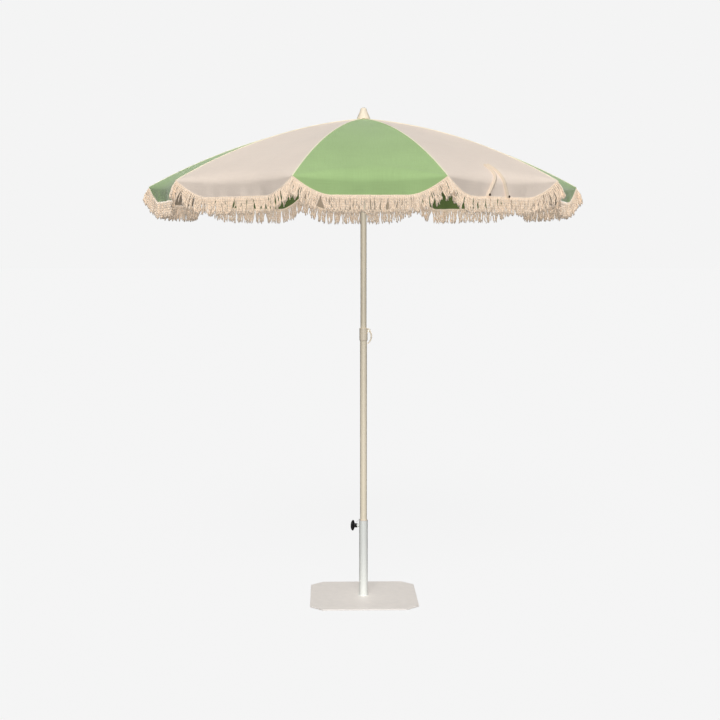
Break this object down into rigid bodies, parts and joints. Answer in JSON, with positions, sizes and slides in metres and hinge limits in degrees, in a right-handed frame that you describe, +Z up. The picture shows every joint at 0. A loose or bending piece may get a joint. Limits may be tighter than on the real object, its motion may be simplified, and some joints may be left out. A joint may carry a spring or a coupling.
{
  "type": "patio umbrella with base",
  "caption": "Fringed patio umbrella with alternating green and cream gores, scalloped valance, telescopic pole with clamp lever, and a square steel plate base.",
  "frame": {"origin": "on the floor under the pole's axis, level with the underside of the rubber feet", "axes": "+Z up along the pole; the green gore with the level hem faces -Y; the clamp knob is on the -X side and the clamp lever on the +X side"},
  "size_m": [1.972, 1.876, 2.285],
  "materials": {
    "base_steel": "fine-textured powder coat",
    "rubber": "matt",
    "tube_steel": "satin powder coat",
    "zinc": "zinc plated",
    "bush_plastic": "matt moulded",
    "leaf_steel": "spring steel",
    "black_plastic": "matt moulded",
    "pole_paint": "satin powder coat",
    "cream_plastic": "satin moulded",
    "rib_paint": "satin powder coat",
    "canvas_green": "plain-weave canvas",
    "canvas_cream": "plain-weave canvas",
    "fringe_cotton": "twisted cotton fringe"
  },
  "bodies": {
    "base": {"base_plate": "base_steel", "base_feet": "rubber", "base_tube": "tube_steel", "base_bolt": "zinc", "guide_bush": "bush_plastic"},
    "leaf": {"pressure_leaf": "leaf_steel"},
    "knob": {"clamp_screw": "zinc", "clamp_knob": "black_plastic"},
    "pole_foot": {"pole_foot_cap": "bush_plastic"},
    "pole": {"lower_pole": "pole_paint", "height_collar": "cream_plastic", "lever_pin": "zinc"},
    "lever": {"lock_lever": "cream_plastic"},
    "mast": {"upper_pole": "pole_paint", "crown_hub": "cream_plastic", "crown_pins": "zinc", "finial": "cream_plastic"},
    "runner": {"runner": "cream_plastic", "runner_pins": "zinc"},
    "catch": {"runner_catch": "leaf_steel"},
    "rib_01": {"rib_01": "rib_paint", "panel_01": "canvas_cream"},
    "stretcher_01": {"stretcher_01": "rib_paint"},
    "valance_01": {"valance_01": "fringe_cotton"},
    "rib_02": {"rib_02": "rib_paint", "panel_02": "canvas_green"},
    "stretcher_02": {"stretcher_02": "rib_paint"},
    "valance_02": {"valance_02": "fringe_cotton"},
    "rib_03": {"rib_03": "rib_paint", "panel_03": "canvas_cream"},
    "stretcher_03": {"stretcher_03": "rib_paint"},
    "valance_03": {"valance_03": "fringe_cotton"},
    "rib_04": {"rib_04": "rib_paint", "panel_04": "canvas_green"},
    "stretcher_04": {"stretcher_04": "rib_paint"},
    "valance_04": {"valance_04": "fringe_cotton"},
    "rib_05": {"rib_05": "rib_paint", "panel_05": "canvas_cream"},
    "stretcher_05": {"stretcher_05": "rib_paint"},
    "valance_05": {"valance_05": "fringe_cotton"},
    "rib_06": {"rib_06": "rib_paint", "panel_06": "canvas_green"},
    "stretcher_06": {"stretcher_06": "rib_paint"},
    "valance_06": {"valance_06": "fringe_cotton"},
    "rib_07": {"rib_07": "rib_paint", "panel_07": "canvas_cream"},
    "stretcher_07": {"stretcher_07": "rib_paint"},
    "valance_07": {"valance_07": "fringe_cotton"},
    "rib_08": {"rib_08": "rib_paint", "panel_08": "canvas_green"},
    "stretcher_08": {"stretcher_08": "rib_paint"},
    "valance_08": {"valance_08": "fringe_cotton"},
    "rib_09": {"rib_09": "rib_paint", "panel_09": "canvas_cream"},
    "stretcher_09": {"stretcher_09": "rib_paint"},
    "valance_09": {"valance_09": "fringe_cotton"},
    "rib_10": {"rib_10": "rib_paint", "panel_10": "canvas_green"},
    "stretcher_10": {"stretcher_10": "rib_paint"},
    "valance_10": {"valance_10": "fringe_cotton"}
  },
  "joints": [
    {"name": "leaf_slide", "type": "slide", "parent": "base", "child": "leaf", "axis": [-0.9659, 0.2588, 0], "range_m": [0, 0.0012]},
    {"name": "knob_turn", "type": "hinge", "parent": "leaf", "child": "knob", "pos_m": [-0.03864, 0.01035, 0.34], "axis": [-0.9659, 0.2588, 0], "range_deg": [0, 345.6]},
    {"name": "pole_lift", "type": "slide", "parent": "base", "child": "pole_foot", "axis": [0, 0, 1], "range_m": [0, 0.36]},
    {"name": "pole_turn", "type": "hinge", "parent": "pole_foot", "child": "pole", "pos_m": [0, 0, 0.026], "axis": [0, 0, 1], "continuous": true},
    {"name": "lever_swing", "type": "hinge", "parent": "pole", "child": "lever", "pos_m": [0.0245, 0, 1.262], "axis": [0, -1, 0], "range_deg": [0, 100]},
    {"name": "height_slide", "type": "slide", "parent": "pole", "child": "mast", "axis": [0, 0, 1], "range_m": [-0.2, 0.15]},
    {"name": "runner_slide", "type": "slide", "parent": "mast", "child": "runner", "axis": [0, 0, 1], "range_m": [-0.42204, 0]},
    {"name": "catch_press", "type": "slide", "parent": "mast", "child": "catch", "axis": [0, 1, 0], "range_m": [0, 0.0032], "stiffness_N_per_m": 300, "springref_m": -0.002},
    {"name": "rib_01_hinge", "type": "hinge", "parent": "mast", "child": "rib_01", "pos_m": [0.026, 0, 2.217], "axis": [0, 1, 0], "range_deg": [0, 71], "deforming": ["panel_01"]},
    {"name": "stretcher_01_hinge", "type": "hinge", "parent": "runner", "child": "stretcher_01", "pos_m": [0.028, 0, 2.00525], "axis": [0, -1, 0], "range_deg": [0, 52.83]},
    {"name": "valance_01_hang", "type": "hinge", "parent": "rib_01", "child": "valance_01", "pos_m": [0.986, 0, 1.921], "axis": [0, 1, 0], "range_deg": [-66, 0], "deforming": ["valance_01"]},
    {"name": "rib_02_hinge", "type": "hinge", "parent": "mast", "child": "rib_02", "pos_m": [0.02103, 0.01528, 2.217], "axis": [-0.5878, 0.809, 0], "range_deg": [0, 71], "deforming": ["panel_02"]},
    {"name": "stretcher_02_hinge", "type": "hinge", "parent": "runner", "child": "stretcher_02", "pos_m": [0.02265, 0.01646, 2.00525], "axis": [0.5878, -0.809, 0], "range_deg": [0, 52.83]},
    {"name": "valance_02_hang", "type": "hinge", "parent": "rib_02", "child": "valance_02", "pos_m": [0.79769, 0.57956, 1.921], "axis": [-0.5878, 0.809, 0], "range_deg": [-66, 0], "deforming": ["valance_02"]},
    {"name": "rib_03_hinge", "type": "hinge", "parent": "mast", "child": "rib_03", "pos_m": [0.00803, 0.02473, 2.217], "axis": [-0.9511, 0.309, 0], "range_deg": [0, 71], "deforming": ["panel_03"]},
    {"name": "stretcher_03_hinge", "type": "hinge", "parent": "runner", "child": "stretcher_03", "pos_m": [0.00865, 0.02663, 2.00525], "axis": [0.9511, -0.309, 0], "range_deg": [0, 52.83]},
    {"name": "valance_03_hang", "type": "hinge", "parent": "rib_03", "child": "valance_03", "pos_m": [0.30469, 0.93774, 1.921], "axis": [-0.9511, 0.309, 0], "range_deg": [-66, 0], "deforming": ["valance_03"]},
    {"name": "rib_04_hinge", "type": "hinge", "parent": "mast", "child": "rib_04", "pos_m": [-0.00803, 0.02473, 2.217], "axis": [-0.9511, -0.309, 0], "range_deg": [0, 71], "deforming": ["panel_04"]},
    {"name": "stretcher_04_hinge", "type": "hinge", "parent": "runner", "child": "stretcher_04", "pos_m": [-0.00865, 0.02663, 2.00525], "axis": [0.9511, 0.309, 0], "range_deg": [0, 52.83]},
    {"name": "valance_04_hang", "type": "hinge", "parent": "rib_04", "child": "valance_04", "pos_m": [-0.30469, 0.93774, 1.921], "axis": [-0.9511, -0.309, 0], "range_deg": [-66, 0], "deforming": ["valance_04"]},
    {"name": "rib_05_hinge", "type": "hinge", "parent": "mast", "child": "rib_05", "pos_m": [-0.02103, 0.01528, 2.217], "axis": [-0.5878, -0.809, 0], "range_deg": [0, 71], "deforming": ["panel_05"]},
    {"name": "stretcher_05_hinge", "type": "hinge", "parent": "runner", "child": "stretcher_05", "pos_m": [-0.02265, 0.01646, 2.00525], "axis": [0.5878, 0.809, 0], "range_deg": [0, 52.83]},
    {"name": "valance_05_hang", "type": "hinge", "parent": "rib_05", "child": "valance_05", "pos_m": [-0.79769, 0.57956, 1.921], "axis": [-0.5878, -0.809, 0], "range_deg": [-66, 0], "deforming": ["valance_05"]},
    {"name": "rib_06_hinge", "type": "hinge", "parent": "mast", "child": "rib_06", "pos_m": [-0.026, 0, 2.217], "axis": [0, -1, 0], "range_deg": [0, 71], "deforming": ["panel_06"]},
    {"name": "stretcher_06_hinge", "type": "hinge", "parent": "runner", "child": "stretcher_06", "pos_m": [-0.028, 0, 2.00525], "axis": [0, 1, 0], "range_deg": [0, 52.83]},
    {"name": "valance_06_hang", "type": "hinge", "parent": "rib_06", "child": "valance_06", "pos_m": [-0.986, 0, 1.921], "axis": [0, -1, 0], "range_deg": [-66, 0], "deforming": ["valance_06"]},
    {"name": "rib_07_hinge", "type": "hinge", "parent": "mast", "child": "rib_07", "pos_m": [-0.02103, -0.01528, 2.217], "axis": [0.5878, -0.809, 0], "range_deg": [0, 71], "deforming": ["panel_07"]},
    {"name": "stretcher_07_hinge", "type": "hinge", "parent": "runner", "child": "stretcher_07", "pos_m": [-0.02265, -0.01646, 2.00525], "axis": [-0.5878, 0.809, 0], "range_deg": [0, 52.83]},
    {"name": "valance_07_hang", "type": "hinge", "parent": "rib_07", "child": "valance_07", "pos_m": [-0.79769, -0.57956, 1.921], "axis": [0.5878, -0.809, 0], "range_deg": [-66, 0], "deforming": ["valance_07"]},
    {"name": "rib_08_hinge", "type": "hinge", "parent": "mast", "child": "rib_08", "pos_m": [-0.00803, -0.02473, 2.217], "axis": [0.9511, -0.309, 0], "range_deg": [0, 71], "deforming": ["panel_08"]},
    {"name": "stretcher_08_hinge", "type": "hinge", "parent": "runner", "child": "stretcher_08", "pos_m": [-0.00865, -0.02663, 2.00525], "axis": [-0.9511, 0.309, 0], "range_deg": [0, 52.83]},
    {"name": "valance_08_hang", "type": "hinge", "parent": "rib_08", "child": "valance_08", "pos_m": [-0.30469, -0.93774, 1.921], "axis": [0.9511, -0.309, 0], "range_deg": [-66, 0], "deforming": ["valance_08"]},
    {"name": "rib_09_hinge", "type": "hinge", "parent": "mast", "child": "rib_09", "pos_m": [0.00803, -0.02473, 2.217], "axis": [0.9511, 0.309, 0], "range_deg": [0, 71], "deforming": ["panel_09"]},
    {"name": "stretcher_09_hinge", "type": "hinge", "parent": "runner", "child": "stretcher_09", "pos_m": [0.00865, -0.02663, 2.00525], "axis": [-0.9511, -0.309, 0], "range_deg": [0, 52.83]},
    {"name": "valance_09_hang", "type": "hinge", "parent": "rib_09", "child": "valance_09", "pos_m": [0.30469, -0.93774, 1.921], "axis": [0.9511, 0.309, 0], "range_deg": [-66, 0], "deforming": ["valance_09"]},
    {"name": "rib_10_hinge", "type": "hinge", "parent": "mast", "child": "rib_10", "pos_m": [0.02103, -0.01528, 2.217], "axis": [0.5878, 0.809, 0], "range_deg": [0, 71], "deforming": ["panel_10"]},
    {"name": "stretcher_10_hinge", "type": "hinge", "parent": "runner", "child": "stretcher_10", "pos_m": [0.02265, -0.01646, 2.00525], "axis": [-0.5878, -0.809, 0], "range_deg": [0, 52.83]},
    {"name": "valance_10_hang", "type": "hinge", "parent": "rib_10", "child": "valance_10", "pos_m": [0.79769, -0.57956, 1.921], "axis": [0.5878, 0.809, 0], "range_deg": [-66, 0], "deforming": ["valance_10"]}
  ],
  "couplings": [
    {"joint": "knob_turn", "follows": "leaf_slide", "rad_per_m": 5026.5},
    {"joint": "rib_01_hinge", "follows": "runner_slide", "rad_per_m": -2.8948},
    {"joint": "stretcher_01_hinge", "follows": "runner_slide", "rad_per_m": -2.1435},
    {"joint": "valance_01_hang", "follows": "runner_slide", "rad_per_m": 2.688},
    {"joint": "rib_02_hinge", "follows": "runner_slide", "rad_per_m": -2.8948},
    {"joint": "stretcher_02_hinge", "follows": "runner_slide", "rad_per_m": -2.1435},
    {"joint": "valance_02_hang", "follows": "runner_slide", "rad_per_m": 2.688},
    {"joint": "rib_03_hinge", "follows": "runner_slide", "rad_per_m": -2.8948},
    {"joint": "stretcher_03_hinge", "follows": "runner_slide", "rad_per_m": -2.1435},
    {"joint": "valance_03_hang", "follows": "runner_slide", "rad_per_m": 2.688},
    {"joint": "rib_04_hinge", "follows": "runner_slide", "rad_per_m": -2.8948},
    {"joint": "stretcher_04_hinge", "follows": "runner_slide", "rad_per_m": -2.1435},
    {"joint": "valance_04_hang", "follows": "runner_slide", "rad_per_m": 2.688},
    {"joint": "rib_05_hinge", "follows": "runner_slide", "rad_per_m": -2.8948},
    {"joint": "stretcher_05_hinge", "follows": "runner_slide", "rad_per_m": -2.1435},
    {"joint": "valance_05_hang", "follows": "runner_slide", "rad_per_m": 2.688},
    {"joint": "rib_06_hinge", "follows": "runner_slide", "rad_per_m": -2.8948},
    {"joint": "stretcher_06_hinge", "follows": "runner_slide", "rad_per_m": -2.1435},
    {"joint": "valance_06_hang", "follows": "runner_slide", "rad_per_m": 2.688},
    {"joint": "rib_07_hinge", "follows": "runner_slide", "rad_per_m": -2.8948},
    {"joint": "stretcher_07_hinge", "follows": "runner_slide", "rad_per_m": -2.1435},
    {"joint": "valance_07_hang", "follows": "runner_slide", "rad_per_m": 2.688},
    {"joint": "rib_08_hinge", "follows": "runner_slide", "rad_per_m": -2.8948},
    {"joint": "stretcher_08_hinge", "follows": "runner_slide", "rad_per_m": -2.1435},
    {"joint": "valance_08_hang", "follows": "runner_slide", "rad_per_m": 2.688},
    {"joint": "rib_09_hinge", "follows": "runner_slide", "rad_per_m": -2.8948},
    {"joint": "stretcher_09_hinge", "follows": "runner_slide", "rad_per_m": -2.1435},
    {"joint": "valance_09_hang", "follows": "runner_slide", "rad_per_m": 2.688},
    {"joint": "rib_10_hinge", "follows": "runner_slide", "rad_per_m": -2.8948},
    {"joint": "stretcher_10_hinge", "follows": "runner_slide", "rad_per_m": -2.1435},
    {"joint": "valance_10_hang", "follows": "runner_slide", "rad_per_m": 2.688}
  ]
}
